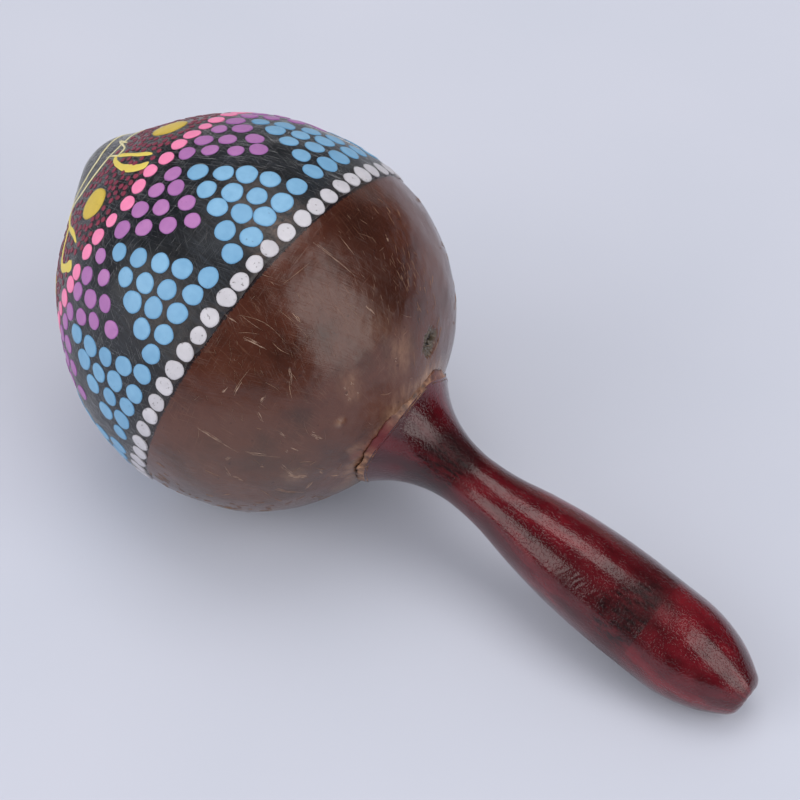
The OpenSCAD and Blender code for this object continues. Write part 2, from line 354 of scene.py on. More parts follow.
shell = {
    "wall": 4.0, "holeR": 7.1, "rim": 149.6, "firstRow": 1.5, "lastRow": 3.0, "innerRows": 40,
    "fineFrom": 82.0, "fineEye": (5.5, 10.0),  # finer mesh from a row on, and finest near the eye
    "rows": (42, 60, 30, 17), "columns": (180, 44, 130),
    "eye": (131.4, 74.6), "eyeWide": 4.2, "eyeDeep": 0.65,
    "crackTurn": 29.0, "crackWide": 0.6, "crackDeep": 0.9, "crackHalf": (1.8, 2.8),
    "nodule": (128.1, 134.6), "noduleWide": 1.1, "noduleHigh": 0.55,
    "joint": (136.0, 142.0), "jointSlant": 2.4, "jointTan": 0.65, "noduleTan": 0.9,
    "tan": ((125.5, 93.6, 3.6, 0.4), (129.5, 96, 3.6, 0.4), (122.3, 119.8, 2.6, 0.4),
            (125.5, 122.9, 2.2, 0.35), (140.2, 115.2, 5, 0.25), (140.2, 77.6, 4, 0.7),
            (126.9, 167.9, 2.6, 0.6), (117, 100, 5, 0.15), (133, 105, 7, 0.05)),
    "dark": ((96.1, 82.6, 10, 0.9), (113, 88.3, 9, 0.8), (90.8, 127.1, 12, 0.3), (104, 140, 14, 0.2),
             (100, 20, 16, 0.6), (118, -40, 14, 0.6), (96, -130, 18, 0.6)),
    # pale greyish patches on the lower side: partly dust, partly a painted reflection of the pale floor
    "dust": ((118, 168, 20, 0.8), (126, 110, 12, 0.15), (108, -170, 24, 0.8), (125, -20, 20, 0.5)),
    "stain": ((143.3, 137.7, 2.6, 0.8), (141.5, 150, 2, 0.6), (143, 60, 1.8, 0.5)),
    "colours": {"dark": "#2f1711", "brown": "#4b271c", "light": "#553226", "tan": "#94725a",
                "dust": "#6a5648", "fibre": "#82604c", "eye": "#4b4439", "crack": "#1b1715",
                "stain": "#6a1c1c"},
}


def makeShellLook():
    # hard brown shell: satin sheen, darker clouds, fine tan fibre lines and pale fibrous patches
    look, tree, place = newLook("coconutShell")
    tone = tones(shell["colours"])
    colour, clouds = noiseTones(tree, place, perMetre(17), [
        (0.3, tone["dark"]), (0.52, tone["brown"]), (0.75, tone["light"])], 5.0, 0.62)
    # fibre lines and scratches, drawn about twice as coarse as real ones so that they show
    down = noiseMask(tree, skinPlace(tree, 0.1, 0.5, 6.0), 1.0, 0.56, 0.74)
    fleck = noiseMask(tree, place, perMetre(9), 0.45, 0.7)
    hair = hairLines(tree, 0.22, 7.0, 0.6, 0.72)
    group = noiseMask(tree, place, perMetre(14), 0.4, 0.68)
    strand = noiseMask(tree, skinPlace(tree, 0.8, 2.4, 4.5), 1.0, 0.3, 0.68, 7.0, 0.68)
    speck = noiseMask(tree, place, perMetre(1.7), 0.73, 0.76, 1.0)
    brush = noiseMask(tree, skinPlace(tree, -0.5, 0.25, 9.0), 1.0, 0.3, 0.75, 2.0)
    # brush marks of black paint that run past the edge of the coat
    sockets = {"Vector": skinPlace(tree, 0.0, 0.5, 2.6), "Scale": 1.0, "Detail": 4.0}
    stroke = addNode(tree, "TexNoise", sockets).outputs["Fac"]
    over = addNode(tree, "Math", {0: "overrun", 1: stroke}, operation="SUBTRACT").outputs[0]
    over = addNode(tree, "MapRange", {"Value": over, 1: 0.0, 2: 0.14, 4: 0.85}).outputs[0]
    # the pale greyish dust patches on the lower side also stand in as a painted reflection of the floor
    colour = layered(
        tree, colour, (tone["dark"], "dark"), (tone["fibre"], down, fleck, 0.35),
        (tone["dust"], "dust", 0.22), (tone["fibre"], hair, group, 0.26), (tone["tan"], "tan", strand),
        (tone["stain"], "stain", strand), (tone["dark"], speck, 0.5),
        (hexColour(coat["colours"]["black"]), over), (tone["eye"], "eye"), (tone["crack"], "crack"))
    rough = addNode(tree, "MapRange", {"Value": clouds, 1: 0.3, 2: 0.7, 3: 0.11, 4: 0.18}).outputs[0]
    relief = stackedRelief(
        tree, (down, 0.02, 0.5), (brush, 0.016, 1.0), (hair, 0.014, 1.0), (strand, 0.04, 0.4))
    return finishLook(look, {
        "Base Color": colour, "Roughness": rough, "Specular IOR Level": 0.54, "Normal": relief})


# height of the nut's round end along the handle, by radius and longitude around the handle, grown by lift
def buttHeight(radius, lon, lift):
    low, high = np.full(np.shape(radius), 20.0), np.full(np.shape(radius), 60.0)
    for _ in range(40):
        middle = (low + high) / 2
        p = aroundAxis(radius, middle, lon)
        x = p[..., 0] * math.cos(lean) - p[..., 2] * math.sin(lean)
        z = p[..., 0] * math.sin(lean) + p[..., 2] * math.cos(lean)
        inside = np.hypot(np.hypot(x, p[..., 1]) - nutShape["buttInset"], z) < buttR + lift
        low, high = np.where(inside, middle, low), np.where(inside, high, middle)
    return (low + high) / 2


eyeS, eyeLon = shell["eye"]
nearS, nearLon = shell["fineEye"]
rowEnds = (shell["firstRow"], shell["fineFrom"], eyeS - nearS, eyeS + nearS, shell["rim"])
rows = np.append(spaced(rowEnds, shell["rows"]), shell["rim"])
columns = spaced((-180, eyeLon - nearLon, eyeLon + nearLon, 180), shell["columns"])
rowGrid, lonGrid = np.meshgrid(rows, columns, indexing="ij")
wideGrid, heightGrid, _ = nutLine(rowGrid)
nutBase = aroundAxis(wideGrid, heightGrid, lonGrid)

# the eye: a shallow uneven oval with a crack across it
eyeX, eyeY = wideGrid * np.radians(lonGrid - eyeLon), rowGrid - eyeS
eyeFar = np.hypot(eyeX, eyeY) / shell["eyeWide"]
eyeOval = 1 - smooth(0.6, 1.0, eyeFar + 0.12 * ripple(nutBase, 3.0, 22))
crackTurn = math.radians(shell["crackTurn"])
crackAlong = eyeX * math.cos(crackTurn) + eyeY * math.sin(crackTurn)
crackAcross = eyeY * math.cos(crackTurn) - eyeX * math.sin(crackTurn) + 0.2 * ripple(nutBase, 2.0, 24)
crackEnds = 1 - smooth(*shell["crackHalf"], np.abs(crackAlong))
crack = np.exp(-(crackAcross / shell["crackWide"]) ** 2) * crackEnds
eyeLift = -shell["eyeDeep"] * eyeOval * (1 + 0.4 * ripple(nutBase, 1.3, 21)) - shell["crackDeep"] * crack
noduleS, noduleLon = shell["nodule"]
noduleFar = np.hypot(wideGrid * np.radians(lonGrid - noduleLon), rowGrid - noduleS)
nodule = np.exp(-(noduleFar / shell["noduleWide"]) ** 2)
outer = onNut(rowGrid, lonGrid, eyeLift + shell["noduleHigh"] * nodule)

# the handle's hole through the wall, then back along the inside
holeR = np.full(columns.shape, shell["holeR"])
hole = [aroundAxis(holeR, buttHeight(holeR, columns, lift), columns) for lift in (0.0, -shell["wall"])]
innerRows = np.linspace(shell["rim"], shell["lastRow"], shell["innerRows"])
inner = onNut(innerRows[:, None], columns[None, :], -shell["wall"])
shellRings = np.concatenate([outer, toTable(np.stack(hole), handleTurn), inner])

jointWave = 1.2 * ripple(nutBase, 7.0, 23) - shell["jointSlant"] * (1 - np.sin(np.radians(lonGrid + 5)))
joint = smooth(*shell["joint"], rowGrid + jointWave)
marks = {key: patches(rowGrid, lonGrid, wideGrid, shell[key]) for key in ("tan", "dark", "dust", "stain")}
marks["tan"] = np.clip(marks["tan"] + shell["jointTan"] * joint + shell["noduleTan"] * nodule, 0, 1)
pastCoat = rowGrid - ringRow(lonGrid) - coat["margin"]
marks["overrun"] = np.clip(1 - pastCoat / coat["overrun"], 0, 1)
marks["eye"] = 0.85 * eyeOval
marks["crack"] = np.clip(1.3 * crack, 0, 1)
marks["flat"] = flatPlace(rowGrid, lonGrid)
marks = {key: ringMarks(values, len(shellRings), values[0].mean(0)) for key, values in marks.items()}
newPiece("coconutShell", skin(shellRings[None]), makeShellLook(), ["shell"], marks=marks)
print("shell built")

# fibres and scratches: thin raised strands of triangular section

strands = {
    "steps": 7, "seed": 5, "fibre": ("#66493a", "#8f715a"), "scrape": ("#795d4f", "#a48a77"),
    "fibreBend": 0.55, "fibreHigh": 0.07, "scrapeBend": 0.25, "scrapeHigh": 0.05, "sunk": 0.06,
    "count": 130, "rows": (90, 140), "long": (1.4, 6.0), "wide": (0.06, 0.15),
    "short": (0.6, 3.4), "fine": (0.04, 0.1),  # length and width in the fields
    # fields of short torn fibres: s from and to, lon from and to, how many, heading
    "fields": ((92, 124, 64, 97, 60, 0.1), (106, 118, 70, 82, 24, 0.1), (88, 112, 118, 152, 60, 0.7),
               (94, 128, -60, 40, 110, 0.1), (92, 126, -170, -80, 110, 0.3)),
    # lines as wide as frayFrom become bundles of broken strands: (spread, pitch, drift), starts, runs, widths
    "frayFrom": 0.3, "fray": (0.6, 0.13, 0.12), "frayStart": (-0.08, 0.6), "frayRun": (0.2, 0.7),
    "frayStop": 1.08, "frayWide": (0.12, 0.26),
    "marked": (  # single lines and scrapes, each (s, lon, s, lon, width)
        (89.5, 98.7, 106.9, 94.9, 0.3), (94.9, 91, 100.4, 91.2, 0.25), (95.6, 130.7, 102.1, 128.6, 0.6),
        (87.7, 129.4, 92.2, 128.9, 0.3), (100.1, 161.7, 110.4, 162.7, 0.6), (112.2, 162, 120, 158.8, 0.5),
        (109.5, 171, 112.5, 175.4, 0.4), (122.2, 162.8, 126.7, 167.1, 0.75),
        (132.6, 182.6, 133.4, 172.6, 0.35), (101.8, 145.7, 101.2, 140.3, 0.35),
        (107.8, 128.8, 111.1, 132.7, 0.35), (101.4, 77, 103, 77.9, 0.35), (110.9, 98.3, 114.7, 97.6, 0.35),
        (99.8, 116.9, 103.1, 117.5, 0.3), (124.5, 144.6, 127.3, 144.5, 0.4),
        (107.8, 139.3, 107.9, 142.8, 0.3), (90.8, 127.1, 103.1, 124.2, 0.22),
        (93.6, 113.6, 94.7, 101.6, 0.2), (125.5, 167.9, 130, 167.9, 1.1), (124.5, 178.4, 131.5, 183.5, 0.5),
        (113, 174.9, 115.5, 175.6, 0.4), (126, 158.8, 129, 157.4, 0.25), (123.5, 144.1, 127, 144.1, 0.5),
        (109, 146.2, 111.5, 148.3, 0.4), (116.5, 149, 118.5, 149.7, 0.35), (133, 163.7, 135, 166.5, 0.45),
        (137.5, 170, 140.5, 172.8, 0.35), (109, 167.9, 110, 166.5, 0.5), (99.5, 147.6, 99.5, 144.8, 0.3),
        (110, 132.2, 113.5, 136.4, 0.25), (120.5, 154.6, 121.5, 156, 0.35),
        (121.5, 153.2, 123.5, 153.2, 0.3), (117.5, 165.8, 118.5, 165.8, 0.5), (122, 122.4, 123, 123.1, 0.4),
        (122.5, 119.6, 123.5, 119.6, 0.4), (125, 124.5, 126, 125.2, 0.4), (126, 120.3, 126.5, 120.3, 0.35),
        (123.5, 123.8, 124.5, 123.8, 0.3), (91.5, 126.6, 97.5, 125.9, 0.22), (101, 126.6, 106, 125.9, 0.25),
        (100.5, 116.8, 103, 117.5, 0.25), (119.5, 78.3, 122.5, 77.6, 0.2), (111.5, 76.9, 115, 79.7, 0.15),
        (116.5, 62.9, 118, 65, 0.2), (127.5, 99.3, 128, 98.6, 0.5), (93.5, 130.8, 97.5, 127.3, 0.2),
        (88.5, 114.7, 91, 113.3, 0.2), (91, 114.7, 92.5, 114.7, 0.2), (97.5, 111.9, 99, 112.6, 0.25),
        (96.5, 118.9, 107.5, 118.9, 0.18), (101.5, 145.5, 101, 136.4, 0.22)),
}


def makeStrandLook(name, first, second):
    # dry torn fibre or scratched finish, paler than what it lies on
    look, tree, place = newLook(name)
    spots = noiseMask(tree, place, perMetre(1.5), 0.35, 0.65)
    colour = layered(tree, hexColour(first), (hexColour(second), spots))
    return finishLook(look, {"Base Color": colour, "Roughness": 0.6})


# lines is an array of (s, lon, s, lon, width); bend moves the middle sideways in mm
def strandRings(lines, bend, lift, high):
    t = np.linspace(0, 1, strands["steps"])[None, :]
    s = lines[:, :1] + (lines[:, 2:3] - lines[:, :1]) * t
    lon = lines[:, 1:2] + (lines[:, 3:4] - lines[:, 1:2]) * t
    wide = nutLine(s)[0]
    runS, runLon = lines[:, 2:3] - lines[:, :1], wide * np.radians(lines[:, 3:4] - lines[:, 1:2])
    span = np.hypot(runS, runLon) + 1e-6
    sideS, sideLon = runLon / span, -runS / span
    middle = bend[:, None] * np.clip(0.1 * span, 0, 1) * np.sin(math.pi * t)
    half = lines[:, 4:5] / 2 * np.sqrt(np.sin(math.pi * np.clip(t, 0.03, 0.97)))
    rings = []
    for side, up in ((-1, -strands["sunk"]), (0, high), (1, -strands["sunk"])):
        off = middle + side * half
        rings.append(onNut(s + off * sideS, lon + np.degrees(off * sideLon / wide), lift + up))
    return np.stack(rings, 2)


def strandPiece(name, lines, rng, bend, lift, high, look):
    rings = strandRings(lines, rng.normal(0, bend, len(lines)), lift, high)
    newPiece(name, skin(rings), look, sharp=180)


def randomLines(rng, count, low, high, longRange, wideRange, around=(-180, 180), favour=None):
    s, lon = rng.uniform(low, high, count), rng.uniform(*around, count)
    heading = rng.uniform(0, math.pi, count) if favour is None else rng.normal(favour, 0.3, count)
    run = rng.uniform(*longRange, count) * rng.uniform(0.5, 1, count)
    endS = np.clip(s + run * np.cos(heading), low, high)
    endLon = lon + np.degrees(run * np.sin(heading) / nutLine(s)[0])
    return np.stack([s, lon, endS, endLon, rng.uniform(*wideRange, count)], -1)


# each scrape as a bundle of broken strands that lie side by side
def frayed(rng, scrapes):
    bundle = []
    spread, pitch, drift = strands["fray"]
    for s0, lon0, s1, lon1, wide in scrapes:
        radius = nutLine(s0)[0]
        across = np.array([lon1 - lon0, s0 - s1]) * (radius * math.pi / 180, 1.0)
        across = across / (np.linalg.norm(across) + 1e-6)
        for off in np.linspace(-spread, spread, 3 + int(wide / pitch)) * wide:
            start = rng.uniform(*strands["frayStart"])
            stop = min(start + rng.uniform(*strands["frayRun"]), strands["frayStop"])
            shift = (off + rng.normal(0, drift)) * across
            turn = math.degrees(shift[1] / radius)
            line = []
            for t in (start, stop):
                line += [s0 + (s1 - s0) * t + shift[0], lon0 + (lon1 - lon0) * t + turn]
            bundle.append(line + [rng.uniform(*strands["frayWide"])])
    return np.array(bundle)


rng = np.random.default_rng(strands["seed"])
lines = [randomLines(rng, strands["count"], *strands["rows"], strands["long"], strands["wide"])]
for low, high, left, right, count, heading in strands["fields"]:
    around = (left, right)
    lines.append(randomLines(rng, count, low, high, strands["short"], strands["fine"], around, heading))
marked = np.array(strands["marked"])
single = marked[:, 4] < strands["frayFrom"]
fibreLook = makeStrandLook("driedFibre", *strands["fibre"])
strandPiece("shellFibres", np.concatenate(lines + [marked[single]]), rng, strands["fibreBend"], 0.0,
            strands["fibreHigh"], fibreLook)
scrapeLook = makeStrandLook("scrapedShell", *strands["scrape"])
strandPiece("shellScrapes", frayed(rng, marked[~single]), rng, strands["scrapeBend"], 0.0,
            strands["scrapeHigh"], scrapeLook)
print("shell fibres built")

# the coat's look and piece


def makeCoatLook():
    # thin brushed black paint: half matt, greyer where the brush dragged, brown where the shell shows through
    look, tree, place = newLook("brushedBlackPaint")
    tone = tones(coat["colours"])
    drag = noiseMask(tree, skinPlace(tree, 0.0, 0.7, 9.0), 1.0, 0.4, 0.72)
    patch = noiseMask(tree, place, perMetre(12), 0.38, 0.68, 4.0)
    hair = hairLines(tree, 0.25, 8.0, 0.6, 0.72)
    group = noiseMask(tree, place, perMetre(13), 0.36, 0.66)
    thin = noiseMask(tree, place, perMetre(1.4), 0.36, 0.6, 4.0, 0.7)
    colour = layered(
        tree, tone["black"], (tone["grey"], drag, patch), (tone["hair"], hair, group, 0.5),
        (tone["brown"], "wear", thin))
    rough = addNode(tree, "MapRange", {"Value": patch, 3: 0.29, 4: 0.38}).outputs[0]
    relief = stackedRelief(tree, (drag, 0.03, 0.5), (hair, 0.07, 1.0))
    return finishLook(look, {
        "Base Color": colour, "Roughness": rough, "Specular IOR Level": 0.46, "Normal": relief,
        "Sheen Weight": 0.9, "Sheen Roughness": 0.14})


coatLon = allAround(coat["columns"])
edgeWave = ripple(aroundAxis(headR, 0.0, coatLon), 9.0, 31)
coatEdge = ringRow(coatLon) + coat["margin"] + coat["wave"] * edgeWave
share = np.linspace(0.012, 1, coat["rows"])
coatS = share[:, None] * coatEdge[None, :]
coatGrid = np.broadcast_to(coatLon, coatS.shape)
coatTop = onNut(coatS, coatGrid, coat["thick"] * (1 - smooth(0.985, 1.0, share)[:, None] * 0.75))
coatRim = onNut(coatEdge + 0.1, coatLon, -0.12)[None]
coatRings = np.concatenate([coatTop, coatRim, onNut(coatS[::-6], coatGrid[::-6], -0.2)])
wear = patches(coatS, coatGrid, nutLine(coatS)[0], coat["wear"])
wear = np.clip(wear + coat["edgeWear"] * smooth(0.93, 1.0, share)[:, None], 0, 1)
marks = {"wear": wear, "flat": flatPlace(coatS, coatGrid)}
marks = {key: ringMarks(values, len(coatRings)) for key, values in marks.items()}
newPiece("blackCoat", skin(coatRings[None]), makeCoatLook(), ["paint_coat"],
         marks=marks, sharp=70)

rng = np.random.default_rng(coat["seed"])
hairs = randomLines(rng, coat["hairs"], *coat["hairRows"], coat["hairLong"], coat["hairWide"])
hairLook = makeStrandLook("scratchedPaint", *coat["hairTones"])
strandPiece("coatHairlines", hairs, rng, coat["hairBend"], coat["thick"], coat["hairHigh"],
            hairLook)
print("paint coat built")

# dabs of paint

dabs = {
    "high": 0.2, "sectors": 10, "phase": 101.6, "rowLean": 2.5,
    "whiteCount": 59, "whitePhase": -2.0, "whiteD": 4.65,
    # rows of triangles; shift moves those at some places: along, along per dot, around, around per row
    "blue": {"width": 5.2, "rows": 5, "base": 81.6, "pitch": -5.85, "step": 6.85, "turn": 0.0,
             "shift": {0: (0.75, 0.38, 0.1, 0.0), 1: (-0.2, 0.05, 0.5, 0.0), 2: (0.7, 0.0, -1.1, 0.0),
                       -1: (-0.9, 0.0, 0.4, 0.0)}},
    "purple": {"width": 4.6, "rows": 4, "base": 52.0, "pitch": 5.1, "step": 8.7, "turn": 0.5,
               "shift": {0: (1.2, 0.1, 0.1, -1.35), 1: (0.7, 0.0, 1.6, 0.0), -1: (-0.5, 0.0, 0.1, 0.0)}},
    "pinkAt": 47.6, "pinkDip": 2.6, "pinkCount": 46, "pinkD": 4.2,
    "spotAt": 34.4, "spotPlaces": (18.0, 80.0, 136.0, 198.0, 260.0, 316.0), "spotD": 9.3,
    # section of a dab from its foot to its middle: share of its half width, share of its height
    "profile": ((0.97, -1.6), (1.0, 0.05), (0.98, 0.6), (0.93, 0.9), (0.72, 1.0), (0.4, 1.0), (0.16, 0.98)),
    # inside, edge and pinhole colours, strength of the pinholes, and the level from which they show
    "paints": {"whitePaint": ("#c0bdc2", "#9a979c", "#55504d", 0.75, 0.66),
               "bluePaint": ("#78a6c5", "#4c81a8", "#2c4a60", 0.5, 0.7),
               "purplePaint": ("#aa70a6", "#894f91", "#5a3060", 0.4, 0.7),
               "pinkPaint": ("#e986ab", "#d46995", "#a04070", 0.3, 0.7),
               "mustardPaint": ("#d0b549", "#a98f31", "#6f5c18", 0.6, 0.68),
               "creamYellowPaint": ("#cfc8a2", "#d2ba38", "#8a7a3a", 0.4, 0.7),
               "maroonPaint": ("#8a3349", "#5c2032", "#3a1520", 0.3, 0.7)},
}


def makeDabLook(name):
    # thick hobby paint: half matt, a little uneven, darker at the thin edge, a few pinhole specks
    look, tree, place = newLook(name)
    inner, outer, speck = [hexColour(code) for code in dabs["paints"][name][:3]]
    amount, low = dabs["paints"][name][3:]
    uneven = noiseMask(tree, place, perMetre(2.2), 0.35, 0.7)
    edge = addNode(tree, "ValToRGB", {"Fac": "rim"}, [(0.84, grey(0.0)), (1.0, grey(0.8))]).outputs["Color"]
    pinhole = noiseMask(tree, place, perMetre(0.8), low, low + 0.06, 2.0)
    colour = layered(
        tree, inner, (outer, uneven, 0.3), (outer, "tone", 0.35), (outer, edge), (speck, pinhole, amount))
    relief = stackedRelief(tree, (uneven, 0.05, 0.4))
    return finishLook(look, {
        "Base Color": colour, "Roughness": 0.48, "Normal": relief,
        "Sheen Weight": 0.25, "Sheen Roughness": 0.14})


# one closed domed dab per row of places (s, lon, width); wobble is the unevenness of its outline
def dabRings(places, rng, segments, high, wobble, jitter):
    count = len(places)
    turn = np.linspace(0, 2 * math.pi, segments, endpoint=False)[None, :]
    phase = rng.uniform(0, 2 * math.pi, (4, count, 1))
    waves = np.sin(2 * turn + phase[0]) + 0.6 * np.sin(3 * turn + phase[1])
    waves += 0.4 * np.sin(5 * turn + phase[2])
    # one dab in five is drawn out to one side
    drawn = (rng.uniform(0, 1, (count, 1)) > 0.8) * np.clip(np.cos(turn + phase[3]), 0, 1) ** 5
    outline = 1 + wobble * waves + 2.2 * wobble * drawn
    half = places[:, 2:3] / 2 * outline * rng.normal(1, 0.05, (count, 1))
    s0 = places[:, :1] + rng.normal(0, jitter, (count, 1))
    lon0 = places[:, 1:2] + np.degrees(rng.normal(0, jitter, (count, 1)) / nutLine(s0)[0])
    high = high * rng.uniform(0.8, 1.15, (count, 1))
    rings = []
    for share, rise in dabs["profile"]:
        s = s0 + share * half * np.sin(turn)
        lon = lon0 + np.degrees(share * half * np.cos(turn) / nutLine(s0)[0])
        rings.append(onNut(s, lon, coat["thick"] + high * rise))
    return np.stack(rings, 1)


def dabPiece(name, places, paint, node, seed,
             segments=20, high=dabs["high"], wobble=0.035, jitter=0.25):
    rng = np.random.default_rng(seed)
    rings = dabRings(np.asarray(places, float), rng, segments, high, wobble, jitter)
    rim = np.append(np.repeat([share for share, _ in dabs["profile"]], segments), [1.0, 0.0])
    tone = rng.uniform(0, 1, len(rings))
    marks = {"rim": np.tile(rim, len(rings)), "tone": np.repeat(tone, len(rim))}
    newPiece(name, skin(rings), makeDabLook(paint), [node], marks=marks, sharp=75)


def dipped(s, lon):
    return s * (1 - dabs["rowLean"] / dabs["blue"]["base"] * np.sin(np.radians(lon)))


def pinkRow(lon):
    return dabs["pinkAt"] - dabs["pinkDip"] * np.sin(np.radians(lon)) ** 3


def dabRow(s, lon, width):
    return np.stack([np.broadcast_to(s, lon.shape), lon, np.full(lon.shape, width)], -1)


# the painter's triangles, each a little off its even place
def triangles(kind):
    places = []
    for k in range(-5, 5):
        loose = 0.5 * math.sin(5 * k), 0.1 * math.sin(3 * k), math.sin(2 * k), 0.0
        along, perDot, around, perRow = kind["shift"].get(k, loose)
        middle = dabs["phase"] + (k + kind["turn"]) * 360 / dabs["sectors"] + around
        for row in range(kind["rows"]):
            for i in range(kind["rows"] - row):
                off = i - (kind["rows"] - row - 1) / 2
                lon = middle + row * perRow + off * kind["step"]
                s = dipped(kind["base"] + row * kind["pitch"], lon) + along + off * perDot
                places.append((s, lon, kind["width"]))
    return places


whiteLon = dabs["whitePhase"] + np.arange(dabs["whiteCount"]) * 360 / dabs["whiteCount"]
pinkLon = np.arange(dabs["pinkCount"]) * 360 / dabs["pinkCount"]
spotLon = np.array(dabs["spotPlaces"])
white = dabRow(ringRow(whiteLon), whiteLon, dabs["whiteD"])
blue, purple = triangles(dabs["blue"]), triangles(dabs["purple"])
pink = dabRow(pinkRow(pinkLon), pinkLon, dabs["pinkD"])
spots = dabRow(dabs["spotAt"], spotLon, dabs["spotD"])
dabPiece("whiteDabs", white, "whitePaint", "white_dots", 41, wobble=0.045)
dabPiece("blueDabs", blue, "bluePaint", "blue_dots", 42)
dabPiece("purpleDabs", purple, "purplePaint", "purple_dots", 43)
dabPiece("pinkDabs", pink, "pinkPaint", "pink_dots", 44, jitter=0.3)
dabPiece("yellowSpots", spots, "mustardPaint", "yellow_spots", 45, segments=32, wobble=0.02)
print("dabs built:", sum(len(places) for places in (white, blue, purple, pink, spots)))

# yellow figure: brushed lines through knots of (s, lon from the foot's middle, width)

figure = {
    "thin": 0.5, "high": 0.16, "turn": 160.0, "spacing": 0.55, "broad": 1.2,
    "ovals": ((19.8, 17.8), (16.7, 12.2)), "full": 2.4,  # half sizes, and how full the oval is
    "footA": (((26.7, 0.8, 0.8), (25.6, -6.6, 0.6), (18.3, -18.1, 0.5), (23.1, -14.2, 0.5)),
              ((26.7, 0.8, 1.2), (34.7, -1.9, 1.3), (40.3, -4.7, 1.4)),
              ((25.4, 0.6, 0.8), (28, 5.2, 1.2), (33.3, 7, 2), (38, 5.5, 2.2), (40.8, 2.8, 2),
               (41.6, -0.4, 1.3)),
              ((20.8, 4, 0.5), (24, 1.5, 0.6), (27.2, 1.2, 0.9))),
    "footB": (((22.5, 2, 0.9), (28.7, 1, 1.2), (34.7, -4.6, 1.3), (39.8, -6.4, 1.1)),
              ((28.7, 1, 1), (33.5, 8, 1.1), (38.6, 10.6, 1.5), (41.7, 5.5, 2), (43.2, 1.2, 1.8),
               (42.7, -0.7, 1.1))),
    "feet": (("footA", 107.0, 1), ("footB", 160.0, 1), ("footB", 287.0, -1), ("footA", 340.0, -1)),
    # section of a line from side to side: share of its half width, share of its height
    "profile": ((-0.95, -0.6), (-1.0, 0.1), (-0.8, 0.6), (-0.4, 0.95), (0.0, 1.0), (0.4, 0.95), (0.8, 0.6),
                (1.0, 0.1), (0.95, -0.6)),
}

tableS = np.linspace(0, arcWidest, 600)
tableR = nutLine(tableS)[0]


# a smooth path through knots of (x, y, width) on the plane across the nut's axis
def smoothPath(knots, closed=False):
    knots = np.asarray(knots, float)
    ends = (knots[-1:], knots[:2]) if closed else (2 * knots[:1] - knots[1:2], 2 * knots[-1:] - knots[-2:-1])
    k = np.concatenate([ends[0], knots, ends[1]])
    path = []
    for a, b, c, e in zip(k[:-3], k[1:-2], k[2:-1], k[3:]):
        count = max(3, int(np.linalg.norm((c - b)[:2]) / figure["spacing"]))
        t = np.linspace(0, 1, count, endpoint=False)[:, None]
        square, cube = 2 * a - 5 * b + 4 * c - e, 3 * b - a - 3 * c + e
        path.append(0.5 * (2 * b + (c - a) * t + square * t ** 2 + cube * t ** 3))
    return np.concatenate(path if closed else path + [knots[-1:]])


def strokeRings(path, closed):
    if closed:
        path = np.concatenate([path, path[:1]])
    run = np.gradient(path[:, :2], axis=0)
    run /= np.linalg.norm(run, axis=1)[:, None]
    side = np.stack([-run[:, 1], run[:, 0]], -1)
    t = np.linspace(0, 1, len(path))
    taper = np.ones(len(path)) if closed else np.clip(np.minimum(t, 1 - t) * len(path) / 2.5 + 0.35, 0, 1)
    wobble = 1 + 0.1 * ripple(np.concatenate([path[:, :2], path[:, :1] * 0], 1), 5.0, 51)
    rings = []
    for offset, rise in figure["profile"]:
        flat = path[:, :2] + side * (offset * path[:, 2] / 2 * taper * wobble)[:, None]
        lon = np.degrees(np.arctan2(flat[:, 1], flat[:, 0])) - 90
        s = np.interp(np.hypot(flat[:, 0], flat[:, 1]), tableR, tableS)
        rings.append(onNut(s, lon, coat["thick"] + figure["high"] * rise * np.clip(taper, 0.4, 1)))
    return np.stack(rings, 1)[None]


def flatKnot(s, lon, width):
    p = aroundAxis(np.interp(s, tableS, tableR), 0.0, lon)
    return (p[0], p[1], width)


strokes = []
face = math.radians(figure["turn"] + 90)
turn = np.radians(np.arange(0, 360, 15.0))
full = [np.sign(v) * np.abs(v) ** (2 / figure["full"]) for v in (np.cos(turn), np.sin(turn))]
for long, wide in figure["ovals"]:
    reach = 1 + 0.012 * np.sin(3 * turn + long)
    x, y = long * reach * full[0], wide * reach * full[1]
    thick = figure["thin"] * (1 + 0.15 * np.sin(2 * turn + long))
    knots = [x * math.cos(face) - y * math.sin(face), x * math.sin(face) + y * math.cos(face), thick]
    strokes.append((smoothPath(np.stack(knots, -1), True), True))
for kind, lon, hand in figure["feet"]:
    for toe in figure[kind]:
        strokes.append((smoothPath([flatKnot(s, lon + hand * off, width) for s, off, width in toe]), False))

allPoints, allFaces, allRims, start = [], [], [], 0
for path, closed in strokes:
    points, faces = skin(strokeRings(path, closed))
    allPoints.append(points)
    allRims.append(np.full(len(points), 1.0 if path[:, 2].max() > figure["broad"] else 0.4))
    allFaces += [[i + start for i in face] for face in faces]
    start += len(points)
marks = {"rim": np.concatenate(allRims), "tone": np.zeros(start)}
newPiece("yellowFigure", (np.concatenate(allPoints), allFaces), makeDabLook("creamYellowPaint"),
         ["yellow_figure"], marks=marks, sharp=75)
print("figure built:", len(strokes), "strokes")

# dark red stipple: tiny dabs thrown around the figure, clear of every other mark

